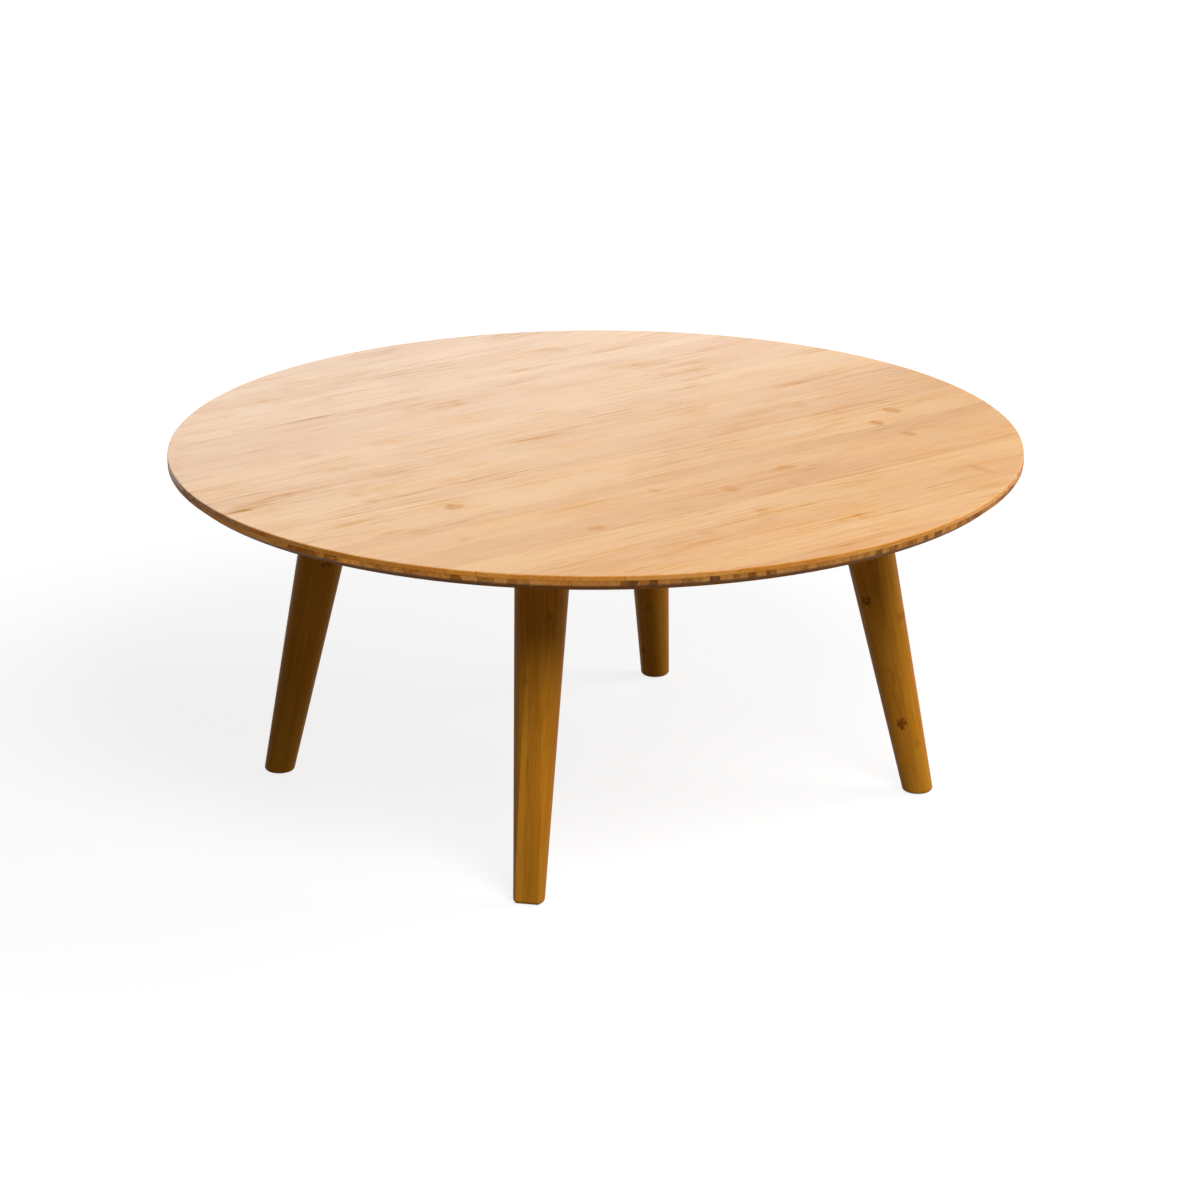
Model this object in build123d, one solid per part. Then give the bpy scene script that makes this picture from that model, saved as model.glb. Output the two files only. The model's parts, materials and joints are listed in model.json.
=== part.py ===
from build123d import *

import os
from math import atan, atan2, cos, degrees, pi, radians, sin, tan

# A round low table of laminated bamboo on four turned, splayed legs that fold flat under the top.
#
# Frame: millimetres, +Z up, origin on the floor under the middle of the top.
# +X runs along the grain of the face ply, -Y is the front.
#
# Every leg hangs in a steel bracket screwed to the underside. The brackets differ only by quarter
# turns, so each leg folds along one side of the leg rectangle and the four lie like a pinwheel.
# A bracket is drawn once in its own frame: origin on the underside above the pivot, +X inboard (the
# way the leg folds), +Y to the middle of the table and +Z up.

# ---- Driving dimensions: the whole table
TABLE_HEIGHT = 340.0
TOP_DIAMETER = 800.0
LEG_SPACING_X = 356.0  # between the leg centre lines, at the underside of the top
LEG_SPACING_Y = 325.0
FOOT_SPACING_X = 459.0  # between the same lines, at the floor
FOOT_SPACING_Y = 414.0

# ---- Driving dimensions: the three-ply top
FACE_PLY = 4.5
CORE_PLY = 6.0
BACK_PLY = 4.5
RIM_UPRIGHT = 8.5  # upright part of the rim, below the top surface
RIM_UNDERCUT = 8.0  # how far the rim slopes inwards below that
RIM_ARRIS = 1.1  # rounding of the upper edge

# ---- Driving dimensions: the legs
LEG_TOP_DIAMETER = 52.4
FOOT_DIAMETER = 28.4
FOOT_ROUNDING = 3.5
PAD_DIAMETER = 14.0
PAD_THICKNESS = 2.0
PAD_PROUD = 0.6  # how far a pad stands out of its recess
FLAT_FACE_WIDTH = 21.0  # the flat planed on the outer side of two legs, where it meets the floor
FLAT_FACE_LENGTH = 235.0  # height above the floor at which that flat has run out

# ---- Driving dimensions: the folding bracket
PLATE_THICKNESS = 1.5
PLATE_INBOARD = 34.0  # reach of the mounting plate from the pivot, on the folding side
PLATE_OUTBOARD = 44.0
PLATE_WIDTH = 84.0
PLATE_CORNER = 8.0
YOKE_THICKNESS = 2.0
YOKE_GAP = 40.0  # between the inner faces of the two ears
YOKE_BEND = 3.0  # outer radius where the ears are bent from the web
EAR_RADIUS = 11.5  # round end of an ear, about the pivot
EAR_OUTBOARD = 28.0
PIVOT_DEPTH = 23.0  # from the underside down to the pivot
PIVOT_OFFSET = 10.0  # from the leg's centre line to the pivot, on the folding side

# ---- Driving dimensions: the hardware
BOLT_DIAMETER = 8.0
BOLT_HEAD_DIAMETER = 12.0
BOLT_HEAD_THICKNESS = 2.6
BOLT_HEAD_BEVEL = 1.2
BOLT_SOCKET = 5.0  # across the flats of the hexagon socket
BOLT_SOCKET_DEPTH = 1.6
NUT_FLATS = 13.0
NUT_THICKNESS = 6.5
NUT_COLLAR = 1.5  # height of the round collar that holds the locking ring
NUT_COLLAR_DIAMETER = 11.4
BOLT_PROUD = 2.0  # end of the bolt beyond its nut
WASHER_DIAMETER = 16.0
WASHER_THICKNESS = 1.0
SPRING_THICKNESS = 0.8
SPRING_WIDTH = 8.0
SPRING_FOOT = 13.0
SPRING_DROP = 30.0  # from the underside to the bottom of the finger tab
SPRING_TAB = 7.0  # how far the finger tab stands out
SPRING_BEND = 1.8  # radius of the strip's middle at its bends
SPRING_RIVET_INSET = 5.2  # from the end of the spring's foot to its rivet
LUG_DIAMETER = 5.0
LUG_BITE = 2.6  # depth of the lug in the leg
LUG_RADIUS = 13.9  # from the pivot to the middle of the lug
RIVET_DIAMETER = 3.0
RIVET_HEAD = 5.4
RIVET_HEAD_THICKNESS = 1.0
SCREW_DIAMETER = 4.0
SCREW_HEAD_DIAMETER = 8.0
SCREW_HEAD_THICKNESS = 2.6
SCREW_BITE = 10.5  # length in the wood
SCREW_POINT = 3.2  # length of the tapered end
SCREW_TIP_DIAMETER = 0.8
SCREW_RECESS = 4.4  # length of each arm pair of the cross recess
SCREW_RECESS_WIDTH = 1.0
SCREW_RECESS_DEPTH = 1.3
EDGE_BREAK = 0.6  # bevel on the ends of the bolt, the lug, the rivet and the screws' heads
SCREW_INSET = 8.5  # from the plate's edges to a screw

# ---- Clearances
RUNNING = 0.06  # radial, a pin that turns in its hole
HOLE_EASE = 0.3  # radial, a lug or bolt that only passes through
SIDE_PLAY = 0.15  # each side of a washer
SEAT_GAP = 0.3  # between the head of an open leg and the yoke
EAR_PLAY = 1.5  # between the round end of an ear and the shoulder cut in the leg
PILOT_EASE = 0.05  # radial, a screw in its hole and a pad in its recess

# ---- Worked out from the above
TOP_THICKNESS = FACE_PLY + CORE_PLY + BACK_PLY
UNDERSIDE = TABLE_HEIGHT - TOP_THICKNESS
TOP_RADIUS = TOP_DIAMETER / 2
EAR_INNER = YOKE_GAP / 2
EAR_OUTER = EAR_INNER + YOKE_THICKNESS
CHEEK = EAR_INNER - 2 * SIDE_PLAY - WASHER_THICKNESS  # half the width milled on the leg's head
HEAD_RADIUS = PIVOT_DEPTH - PLATE_THICKNESS - YOKE_THICKNESS - SEAT_GAP  # of the leg, about the pivot
EDGE_X = (FOOT_SPACING_X - LEG_SPACING_X) / 2 / UNDERSIDE  # splay along X, as a slope
EDGE_Y = (FOOT_SPACING_Y - LEG_SPACING_Y) / 2 / UNDERSIDE
LEG_TAPER = (LEG_TOP_DIAMETER - FOOT_DIAMETER) / 2 / UNDERSIDE  # loss of radius per mm of height
FAR = 2 * TOP_DIAMETER  # longer than anything in the table

# Each leg: the corner it stands at, the way it folds, and whether its outer side is planed flat.
LEGS = {
    "back_right": ((1, 1), (-1, 0), True),
    "back_left": ((-1, 1), (0, -1), False),
    "front_left": ((-1, -1), (1, 0), True),
    "front_right": ((1, -1), (0, 1), False),
}


def save(shape, node):
    """Writes one sub-part as a STEP file named after its node."""
    shape.label = node
    export_step(shape, f"parts/{node}.step")


def fold_angle(slope):
    """Degrees that a leg turns between standing, with this splay in its folding plane, and lying flat."""
    return 90 + degrees(atan(slope))


def splay(fold):
    """Slopes of a leg in its bracket's frame: along the fold, and towards the middle of the table."""
    return (EDGE_X, EDGE_Y) if fold[0] else (EDGE_Y, EDGE_X)


def bracket_frame(corner, fold):
    """Place of a bracket's frame in the table."""
    slope_fold, slope_side = splay(fold)
    inward = (-fold[1], fold[0])  # the bracket's +Y
    # the leg's centre line has left its corner by this much at the height of the pivot
    back = PIVOT_OFFSET - slope_fold * PIVOT_DEPTH
    side = -slope_side * PIVOT_DEPTH
    x = corner[0] * LEG_SPACING_X / 2 + back * fold[0] + side * inward[0]
    y = corner[1] * LEG_SPACING_Y / 2 + back * fold[1] + side * inward[1]
    return Location((x, y, UNDERSIDE), (0, 0, degrees(atan2(fold[1], fold[0]))))


def rod(radius, start, end):
    """Round bar along Y of the bracket's frame, from y = start to y = end, about the origin."""
    return Pos(0, (start + end) / 2, 0) * Rot(90, 0, 0) * Cylinder(radius, abs(end - start))


def lug_place(angle=0.0):
    """X and Z of the latch lug from the pivot, turned back by a fold angle for its second hole."""
    # the two holes in the leg lie evenly either side of the line above the pivot
    mean_fold = (fold_angle(EDGE_X) + fold_angle(EDGE_Y)) / 2
    at = radians(90 + mean_fold / 2 - angle)
    return LUG_RADIUS * cos(at), LUG_RADIUS * sin(at)


# ---- The top


def panel():
    """The glued-up top as one body, with its upright rim and its undercut."""
    outer = TOP_RADIUS
    with BuildPart() as body:
        with BuildSketch(Plane.XZ):
            with BuildLine():
                Line((0, UNDERSIDE), (outer - RIM_UNDERCUT, UNDERSIDE))
                Line((outer - RIM_UNDERCUT, UNDERSIDE), (outer, TABLE_HEIGHT - RIM_UPRIGHT))
                Line((outer, TABLE_HEIGHT - RIM_UPRIGHT), (outer, TABLE_HEIGHT - RIM_ARRIS))
                RadiusArc((outer, TABLE_HEIGHT - RIM_ARRIS), (outer - RIM_ARRIS, TABLE_HEIGHT), -RIM_ARRIS)
                Line((outer - RIM_ARRIS, TABLE_HEIGHT), (0, TABLE_HEIGHT))
                Line((0, TABLE_HEIGHT), (0, UNDERSIDE))
            make_face()
        revolve(axis=Axis.Z)
    return body.part


def ply(top_body, low, high, holes=None):
    """The layer of the top between two heights, less the screw holes that reach it."""
    layer = top_body & Pos(0, 0, (low + high) / 2) * Cylinder(TOP_RADIUS + 1, high - low)
    return layer - holes if holes else layer


# ---- The bracket, in its own frame


def screw_places():
    """The four corners of the mounting plate that take a screw."""
    side = PLATE_WIDTH / 2 - SCREW_INSET
    return [
        (x, y)
        for x in (PLATE_INBOARD - SCREW_INSET, SCREW_INSET - PLATE_OUTBOARD)
        for y in (side, -side)
    ]


def spring_rivet_place():
    """Where the rivet of the latch spring goes through the mounting plate."""
    return lug_place()[0], EAR_OUTER + HOLE_EASE + SPRING_FOOT - SPRING_RIVET_INSET


def mounting_plate():
    length = PLATE_INBOARD + PLATE_OUTBOARD
    blank = RectangleRounded(length, PLATE_WIDTH, PLATE_CORNER)
    for place in screw_places():
        middle = (PLATE_INBOARD - PLATE_OUTBOARD) / 2
        blank -= Pos(place[0] - middle, place[1]) * Circle(SCREW_DIAMETER / 2 + HOLE_EASE)
    plate = extrude(Pos((PLATE_INBOARD - PLATE_OUTBOARD) / 2, 0, -PLATE_THICKNESS) * blank, PLATE_THICKNESS)
    x, y = spring_rivet_place()
    return plate - Pos(x, y, -PLATE_THICKNESS / 2) * Cylinder(RIVET_DIAMETER / 2, PLATE_THICKNESS)


def ear_outline():
    """Face of an ear seen from the side: flared outboard, round about the pivot, upright inboard."""
    top = -PLATE_THICKNESS
    # tangent from the flared corner to the round end
    reach_x, reach_z = -EAR_OUTBOARD, PIVOT_DEPTH + top
    distance = (reach_x**2 + reach_z**2) ** 0.5
    turn = atan2(reach_z, reach_x) + pi / 2 - atan(EAR_RADIUS / (distance**2 - EAR_RADIUS**2) ** 0.5)
    touch = (EAR_RADIUS * cos(turn), EAR_RADIUS * sin(turn) - PIVOT_DEPTH)
    with BuildSketch(Plane.XZ) as ear:
        with BuildLine():
            Line((-EAR_OUTBOARD, top), touch)
            ThreePointArc(touch, (0, -PIVOT_DEPTH - EAR_RADIUS), (EAR_RADIUS, -PIVOT_DEPTH))
            Line((EAR_RADIUS, -PIVOT_DEPTH), (EAR_RADIUS, top))
            Line((EAR_RADIUS, top), (-EAR_OUTBOARD, top))
        make_face()
    return ear.sketch


def hinge_yoke():
    """The U-shaped pressing: a web spot-welded to the plate and two ears that carry the pivot."""
    length = EAR_OUTBOARD + EAR_RADIUS
    depth = PIVOT_DEPTH + EAR_RADIUS
    top = -PLATE_THICKNESS
    channel = Rectangle(2 * EAR_OUTER, depth)
    channel = fillet(channel.vertices().group_by(Axis.Y)[-1], YOKE_BEND)
    hollow = Pos(0, -YOKE_THICKNESS) * Rectangle(2 * EAR_INNER, depth)
    hollow = fillet(hollow.vertices().group_by(Axis.Y)[-1], YOKE_BEND - YOKE_THICKNESS)
    section = Plane.YZ * Pos(0, top - depth / 2) * (channel - hollow)
    bent = Pos(-EAR_OUTBOARD, 0, 0) * extrude(section, length)
    yoke = bent & extrude(ear_outline(), EAR_OUTER + 1, both=True)
    yoke -= Pos(0, 0, -PIVOT_DEPTH) * rod(BOLT_DIAMETER / 2 + PILOT_EASE, -EAR_OUTER - 1, EAR_OUTER + 1)
    x, z = lug_place()
    hole = rod(LUG_DIAMETER / 2 + HOLE_EASE, EAR_INNER - 1, EAR_OUTER + 1)
    return yoke - Pos(x, 0, z - PIVOT_DEPTH) * hole


def pivot_bolt():
    """Furniture bolt with its bevelled flat head on the side of the latch spring."""
    tail = -EAR_OUTER - NUT_THICKNESS - BOLT_PROUD
    head = rod(BOLT_HEAD_DIAMETER / 2, EAR_OUTER, EAR_OUTER + BOLT_HEAD_THICKNESS)
    head = chamfer(head.edges().sort_by(Axis.Y)[-1], BOLT_HEAD_BEVEL)
    socket = extrude(RegularPolygon(BOLT_SOCKET / 2, 6, major_radius=False), BOLT_SOCKET_DEPTH)
    head -= Pos(0, EAR_OUTER + BOLT_HEAD_THICKNESS, 0) * Rot(90, 0, 0) * socket
    shank = rod(BOLT_DIAMETER / 2, EAR_OUTER, tail)
    shank = chamfer(shank.edges().sort_by(Axis.Y)[0], EDGE_BREAK)
    return Pos(0, 0, -PIVOT_DEPTH) * (head + shank)


def pivot_nut():
    """Locking nut outside the outer ear."""
    end = -EAR_OUTER - NUT_THICKNESS
    hexagon = extrude(RegularPolygon(NUT_FLATS / 2, 6, major_radius=False), NUT_THICKNESS - NUT_COLLAR)
    body = Pos(0, -EAR_OUTER, 0) * Rot(90, 0, 0) * hexagon
    collar = rod(NUT_COLLAR_DIAMETER / 2, end + NUT_COLLAR, end)
    bore = rod(BOLT_DIAMETER / 2 + PILOT_EASE, -EAR_OUTER + 1, end - 1)
    return Pos(0, 0, -PIVOT_DEPTH) * (body + collar - bore)


def pivot_washers():
    """The two nylon washers between the leg's cheeks and the ears."""
    near = CHEEK + SIDE_PLAY
    pair = []
    for side in (1, -1):
        ring = rod(WASHER_DIAMETER / 2, side * near, side * (near + WASHER_THICKNESS))
        ring -= rod(BOLT_DIAMETER / 2 + HOLE_EASE, side * (near - 1), side * (near + 2 * WASHER_THICKNESS))
        pair.append(Pos(0, 0, -PIVOT_DEPTH) * ring)
    return Compound(children=pair)


def latch_spring():
    """Bent spring strip whose lug goes through the ear into the leg and holds it open or folded."""
    x, z = lug_place()
    blade = EAR_OUTER + HOLE_EASE  # inner face of the blade
    foot_top = -PLATE_THICKNESS
    with BuildPart() as spring:
        with BuildSketch(Plane.YZ):
            with BuildLine():
                FilletPolyline(
                    (blade + SPRING_FOOT, foot_top - SPRING_THICKNESS / 2),
                    (blade + SPRING_THICKNESS / 2, foot_top - SPRING_THICKNESS / 2),
                    (blade + SPRING_THICKNESS / 2, -SPRING_DROP + SPRING_TAB),
                    (blade + SPRING_TAB, -SPRING_DROP),
                    radius=SPRING_BEND,
                )
            trace(line_width=SPRING_THICKNESS)
        extrude(amount=SPRING_WIDTH / 2, both=True)
    strip = Pos(x, 0, 0) * spring.part
    lug = rod(LUG_DIAMETER / 2, CHEEK - LUG_BITE, blade + SPRING_THICKNESS / 2)
    lug = chamfer(lug.edges().sort_by(Axis.Y)[0], EDGE_BREAK)
    strip += Pos(x, 0, z - PIVOT_DEPTH) * lug
    rivet_x, rivet_y = spring_rivet_place()
    return strip - Pos(rivet_x, rivet_y, foot_top) * Cylinder(RIVET_DIAMETER / 2, 4 * SPRING_THICKNESS)


def spring_rivet():
    """Rivet that clamps the foot of the latch spring to the mounting plate, flush above it."""
    x, y = spring_rivet_place()
    grip = PLATE_THICKNESS + SPRING_THICKNESS
    shank = Pos(x, y, -grip / 2) * Cylinder(RIVET_DIAMETER / 2, grip)
    head = Pos(x, y, -grip - RIVET_HEAD_THICKNESS / 2) * Cylinder(RIVET_HEAD / 2, RIVET_HEAD_THICKNESS)
    head = chamfer(head.edges().sort_by(Axis.Z)[0], EDGE_BREAK)
    return shank + head


def wood_screw():
    """Pan-headed screw standing on its head's seat at z = 0, pointing up."""
    reach = PLATE_THICKNESS + SCREW_BITE
    straight = reach - SCREW_POINT
    shank = Pos(0, 0, straight / 2) * Cylinder(SCREW_DIAMETER / 2, straight)
    tip = Pos(0, 0, reach - SCREW_POINT / 2) * Cone(SCREW_DIAMETER / 2, SCREW_TIP_DIAMETER / 2, SCREW_POINT)
    head = Pos(0, 0, -SCREW_HEAD_THICKNESS / 2) * Cylinder(SCREW_HEAD_DIAMETER / 2, SCREW_HEAD_THICKNESS)
    head = chamfer(head.edges().sort_by(Axis.Z)[0], EDGE_BREAK)
    for turn in (0, 90):
        slot = Box(SCREW_RECESS, SCREW_RECESS_WIDTH, 2 * SCREW_RECESS_DEPTH)
        head -= Pos(0, 0, -SCREW_HEAD_THICKNESS) * Rot(0, 0, turn) * slot
    return shank + tip + head


def plate_screws():
    """The four screws of one bracket."""
    screw = wood_screw()
    return Compound(children=[Pos(x, y, -PLATE_THICKNESS) * screw for x, y in screw_places()])


def pilot_holes():
    """Holes for those screws in the underside of the top."""
    hole = Cylinder(SCREW_DIAMETER / 2 + PILOT_EASE, 2 * (SCREW_BITE + PILOT_EASE))
    return [Pos(x, y, 0) * hole for x, y in screw_places()]


# ---- The leg, in its bracket's frame


def leg_line(slope_fold, slope_side, height):
    """Middle of the leg at a height above the floor."""
    below = PIVOT_DEPTH - (UNDERSIDE - height)
    return Vector(-PIVOT_OFFSET + slope_fold * below, slope_side * below, height - UNDERSIDE)


def turned_leg(slope_fold, slope_side):
    """The taper as it comes off the lathe, along the splayed centre line and longer than needed."""
    low, high = -FOOT_DIAMETER, UNDERSIDE + FOOT_DIAMETER
    foot = leg_line(slope_fold, slope_side, low)
    head = leg_line(slope_fold, slope_side, high)
    along = Plane(origin=foot, z_dir=head - foot)
    length = (head - foot).length
    foot_radius = FOOT_DIAMETER / 2 + LEG_TAPER * low
    head_radius = FOOT_DIAMETER / 2 + LEG_TAPER * high
    return along * Pos(0, 0, length / 2) * Cone(foot_radius, head_radius, length)


def outward_of(slope_fold, slope_side):
    """Level direction from the middle of the table towards a leg's foot."""
    return Vector(-slope_fold, -slope_side, 0).normalized()


def flat_reach():
    """From a foot's middle to the flat planed on its outer side, at the floor."""
    return ((FOOT_DIAMETER / 2) ** 2 - (FLAT_FACE_WIDTH / 2) ** 2) ** 0.5


def planed_flat(slope_fold, slope_side):
    """The wood taken off the outer side of a leg by one straight plane cut that runs out uphill."""
    outward = outward_of(slope_fold, slope_side)
    low = leg_line(slope_fold, slope_side, 0) + outward * flat_reach()
    run_out = FOOT_DIAMETER / 2 + LEG_TAPER * FLAT_FACE_LENGTH
    high = leg_line(slope_fold, slope_side, FLAT_FACE_LENGTH) + outward * run_out
    uphill = (high - low).normalized()
    normal = uphill.cross(outward).cross(uphill)
    cut = Plane(origin=low, x_dir=uphill, z_dir=normal)
    return cut * Pos(0, 0, FAR / 2) * Box(FAR, FAR, FAR)


def head_waste(slope_fold):
    """What is cut from the head so that it turns between the ears and under the yoke."""
    # above the head, level with the yoke on the outboard side and round about the pivot inboard
    top = Pos(-FAR / 2, 0, HEAD_RADIUS + FAR / 2) * Box(FAR, FAR, FAR)
    corner = Pos(FAR / 2, 0, FAR / 2) * Box(FAR, FAR, FAR) - rod(HEAD_RADIUS, -FAR, FAR)
    # beside the head, the flat cheeks that stop at a shoulder just below the ears
    shoulder = EAR_RADIUS + EAR_PLAY
    cheeks = [
        Pos(0, side * (CHEEK + FAR / 2), FAR / 2 - shoulder) * Box(FAR, FAR, FAR) for side in (1, -1)
    ]
    pivot = rod(BOLT_DIAMETER / 2 + RUNNING, -FAR, FAR)
    # two blind holes in the inner cheek, for the lug when the leg stands and when it is folded
    lug_hole = rod(LUG_DIAMETER / 2 + HOLE_EASE, CHEEK - LUG_BITE - SEAT_GAP, CHEEK + 1)
    holes = []
    for angle in (0, fold_angle(slope_fold)):
        x, z = lug_place(angle)
        holes.append(Pos(x, 0, z) * lug_hole)
    return [Pos(0, 0, -PIVOT_DEPTH) * piece for piece in [top, corner, *cheeks, pivot, *holes]]


def leg(slope_fold, slope_side, planed):
    """One leg, from the rounded foot with its pad's recess to the milled head in the yoke."""
    wood = turned_leg(slope_fold, slope_side)
    wood -= Pos(0, 0, PAD_PROUD - UNDERSIDE - FAR / 2) * Box(FAR, FAR, FAR)
    if planed:
        wood -= planed_flat(slope_fold, slope_side)
    wood = fillet(wood.faces().sort_by(Axis.Z)[0].edges(), FOOT_ROUNDING)
    wood -= foot_disc(slope_fold, slope_side, planed, PAD_DIAMETER / 2 + PILOT_EASE)
    for piece in head_waste(slope_fold):
        wood -= piece
    return wood


def foot_disc(slope_fold, slope_side, planed, radius):
    """Disc as thick as a pad, standing on the floor under the middle of what the foot has left."""
    inset = (FOOT_DIAMETER / 2 - flat_reach()) / 2 if planed else 0
    middle = leg_line(slope_fold, slope_side, PAD_THICKNESS / 2) - outward_of(slope_fold, slope_side) * inset
    return Pos(middle.X, middle.Y, middle.Z) * Cylinder(radius, PAD_THICKNESS)


def foot_pad(slope_fold, slope_side, planed):
    """Felt disc let into the foot."""
    return foot_disc(slope_fold, slope_side, planed, PAD_DIAMETER / 2)


# ---- The assembly


def main():
    os.makedirs("parts", exist_ok=True)
    bracket_pieces = {
        "mounting_plate": mounting_plate(),
        "hinge_yoke": hinge_yoke(),
        "pivot_bolt": pivot_bolt(),
        "pivot_nut": pivot_nut(),
        "pivot_washers": pivot_washers(),
        "latch_spring": latch_spring(),
        "spring_rivet": spring_rivet(),
        "plate_screws": plate_screws(),
    }
    holes = []
    for corner_name, (corner, fold, planed) in LEGS.items():
        frame = bracket_frame(corner, fold)
        for name, piece in bracket_pieces.items():
            save(frame * piece, f"{name}_{corner_name}")
        slope_fold, slope_side = splay(fold)
        save(frame * leg(slope_fold, slope_side, planed), f"leg_{corner_name}")
        save(frame * foot_pad(slope_fold, slope_side, planed), f"foot_pad_{corner_name}")
        holes += [frame * hole for hole in pilot_holes()]
        print(corner_name, "pivot", frame.position, "folds", round(fold_angle(slope_fold), 3))
    top_body = panel()
    save(ply(top_body, UNDERSIDE, UNDERSIDE + BACK_PLY, holes), "top_back_ply")
    save(ply(top_body, UNDERSIDE + BACK_PLY, TABLE_HEIGHT - FACE_PLY, holes), "top_core_ply")
    save(ply(top_body, TABLE_HEIGHT - FACE_PLY, TABLE_HEIGHT), "top_face_ply")


main()
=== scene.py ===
"""A round bamboo table on folding legs: its finishes, its small hardware and a studio to see it in."""
import json
import math

import bmesh
import bpy
from mathutils import Matrix, Vector


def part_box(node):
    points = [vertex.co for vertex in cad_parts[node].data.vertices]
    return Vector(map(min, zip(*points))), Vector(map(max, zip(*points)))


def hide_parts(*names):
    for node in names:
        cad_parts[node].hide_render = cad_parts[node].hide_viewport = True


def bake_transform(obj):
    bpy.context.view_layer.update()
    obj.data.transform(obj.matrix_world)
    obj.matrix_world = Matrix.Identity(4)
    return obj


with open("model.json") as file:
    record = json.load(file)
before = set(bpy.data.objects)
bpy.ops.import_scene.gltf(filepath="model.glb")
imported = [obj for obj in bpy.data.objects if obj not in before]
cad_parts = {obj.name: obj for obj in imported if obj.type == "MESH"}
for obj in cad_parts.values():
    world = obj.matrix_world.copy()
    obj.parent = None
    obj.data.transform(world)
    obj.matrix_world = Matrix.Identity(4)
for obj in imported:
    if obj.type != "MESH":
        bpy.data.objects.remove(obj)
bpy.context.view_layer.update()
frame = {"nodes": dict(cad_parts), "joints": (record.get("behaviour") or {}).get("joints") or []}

bl_info = {
    "name": "Folding Bamboo Table",
    "version": (1, 0, 0),
    "blender": (4, 5, 0),
    "location": "View3D > Sidebar > Bamboo Table",
    "description": "Finishes a round folding table in bamboo, plated steel and felt, and lights it",
    "category": "Material",
}

MM = 0.001

# Each bracket stands at a corner of the leg rectangle and folds its leg along one side of it.
CORNERS = ("back_right", "back_left", "front_left", "front_right")

TOP_RADIUS = (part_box("top_core_ply")[1][0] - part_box("top_core_ply")[0][0]) / 2
TOP_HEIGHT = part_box("top_face_ply")[1][2]
FACE_GLUE_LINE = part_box("top_face_ply")[0][2]
BACK_GLUE_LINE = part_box("top_back_ply")[1][2]
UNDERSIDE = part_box("top_back_ply")[0][2]
LEG_SPACING = Vector((356, 325, 0)) * MM  # between the leg centre lines, at the underside of the top
FOOT_SPACING = Vector((459, 414, 0)) * MM  # between the same lines, at the floor

# The plainest knuckles of the face ply: place along and across the strips, length and width in millimetres,
# and strength from 0 to 1.
FACE_KNUCKLES = (
    (290, -88, 16, 20, 0.95),
    (250, -113, 13, 21, 1.0),
    (251, -156, 13, 18, 1.0),
    (88, -173, 30, 17, 0.60),
    (8, -194, 17, 18, 0.75),
    (66, -217, 15, 21, 0.38),
    (-10, -261, 14, 18, 0.42),
    (-50, -156, 12, 17, 0.50),
    (-158, -214, 20, 15, 0.80),
    (-222, -88, 20, 17, 0.85),
    (-290, -129, 18, 17, 0.35),
    (-268, -171, 18, 12, 0.42),
    (-88, -282, 14, 20, 0.38),
    (50, -325, 16, 18, 0.45),
    (230, -284, 13, 34, 0.55),
    (228, -24, 20, 15, 0.35),
    (240, -61, 16, 20, 0.30),
    (-240, 121, 26, 18, 0.32),
    (-235, 70, 60, 9, 0.35),
    (-272, -28, 18, 18, 0.30),
)

# The plainest knuckles of the legs: place up the leg and across it from its centre line, length and width in
# millimetres, and strength from 0 to 1.
LEG_KNUCKLES = {
    "back_right": ((238, 6, 9, 8, 0.5),),
    "back_left": ((225, -9, 9, 8, 0.75), (60, 5, 8, 7, 0.4)),
    "front_left": ((262, 12, 9, 8, 0.45),),
    "front_right": ((202, -10.5, 9, 10, 1.0), (75, -0.5, 11, 8, 1.0), (125, -1.5, 22, 3, 0.5)),
}


# ---- Settings that a user would change


def colour_property(name, description, default):
    return bpy.props.FloatVectorProperty(
        name=name, description=description, subtype="COLOR", size=3, min=0.0, max=1.0, default=default
    )


def length_property(name, description, default):
    return bpy.props.FloatProperty(
        name=name, description=description, unit="LENGTH", min=0.0, precision=5, default=default
    )


class BambooSettings(bpy.types.PropertyGroup):
    """How the bamboo is cut and what colour it has under its lacquer."""

    strip_width: length_property(
        "Strip width", "Width of a strip laid flat in the face and back plies", 21.5 * MM
    )
    seam_place: length_property(
        "Seam place", "Distance of one seam of the face ply from the middle", 8.75 * MM
    )
    block_width: length_property("Block width", "Width of a glued block of strips in the core ply", 8.0 * MM)
    edge_width: length_property("Edge strip width", "Width of a strip set on edge in the core ply", 4.6 * MM)
    leg_strip: length_property("Leg strip", "Thickness of a strip in the glued-up legs", 8.6 * MM)
    knuckle_spacing: length_property("Knuckle spacing", "Distance between knuckles along a strip", 290 * MM)
    face_light: colour_property("Face, light", "Lightest strips of the face ply", (0.87, 0.49, 0.170))
    face_dark: colour_property("Face, dark", "Darkest strips of the face ply", (0.70, 0.30, 0.060))
    core_light: colour_property("Core, light", "Lightest end grain of the core ply", (0.55, 0.245, 0.062))
    core_dark: colour_property("Core, dark", "Darkest end grain of the core ply", (0.20, 0.071, 0.012))
    leg_light: colour_property("Leg, light", "Lightest strips of the legs", (0.60, 0.250, 0.020))
    leg_dark: colour_property("Leg, dark", "Darkest strips of the legs", (0.38, 0.138, 0.007))
    knuckle_colour: colour_property("Knuckle", "Colour of a knuckle in the top", (0.66, 0.245, 0.020))
    leg_knuckle: colour_property("Leg knuckle", "Colour of a knuckle in a leg", (0.20, 0.050, 0.004))
    seam_colour: colour_property("Seam", "Colour of a glued seam", (0.36, 0.125, 0.016))


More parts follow.
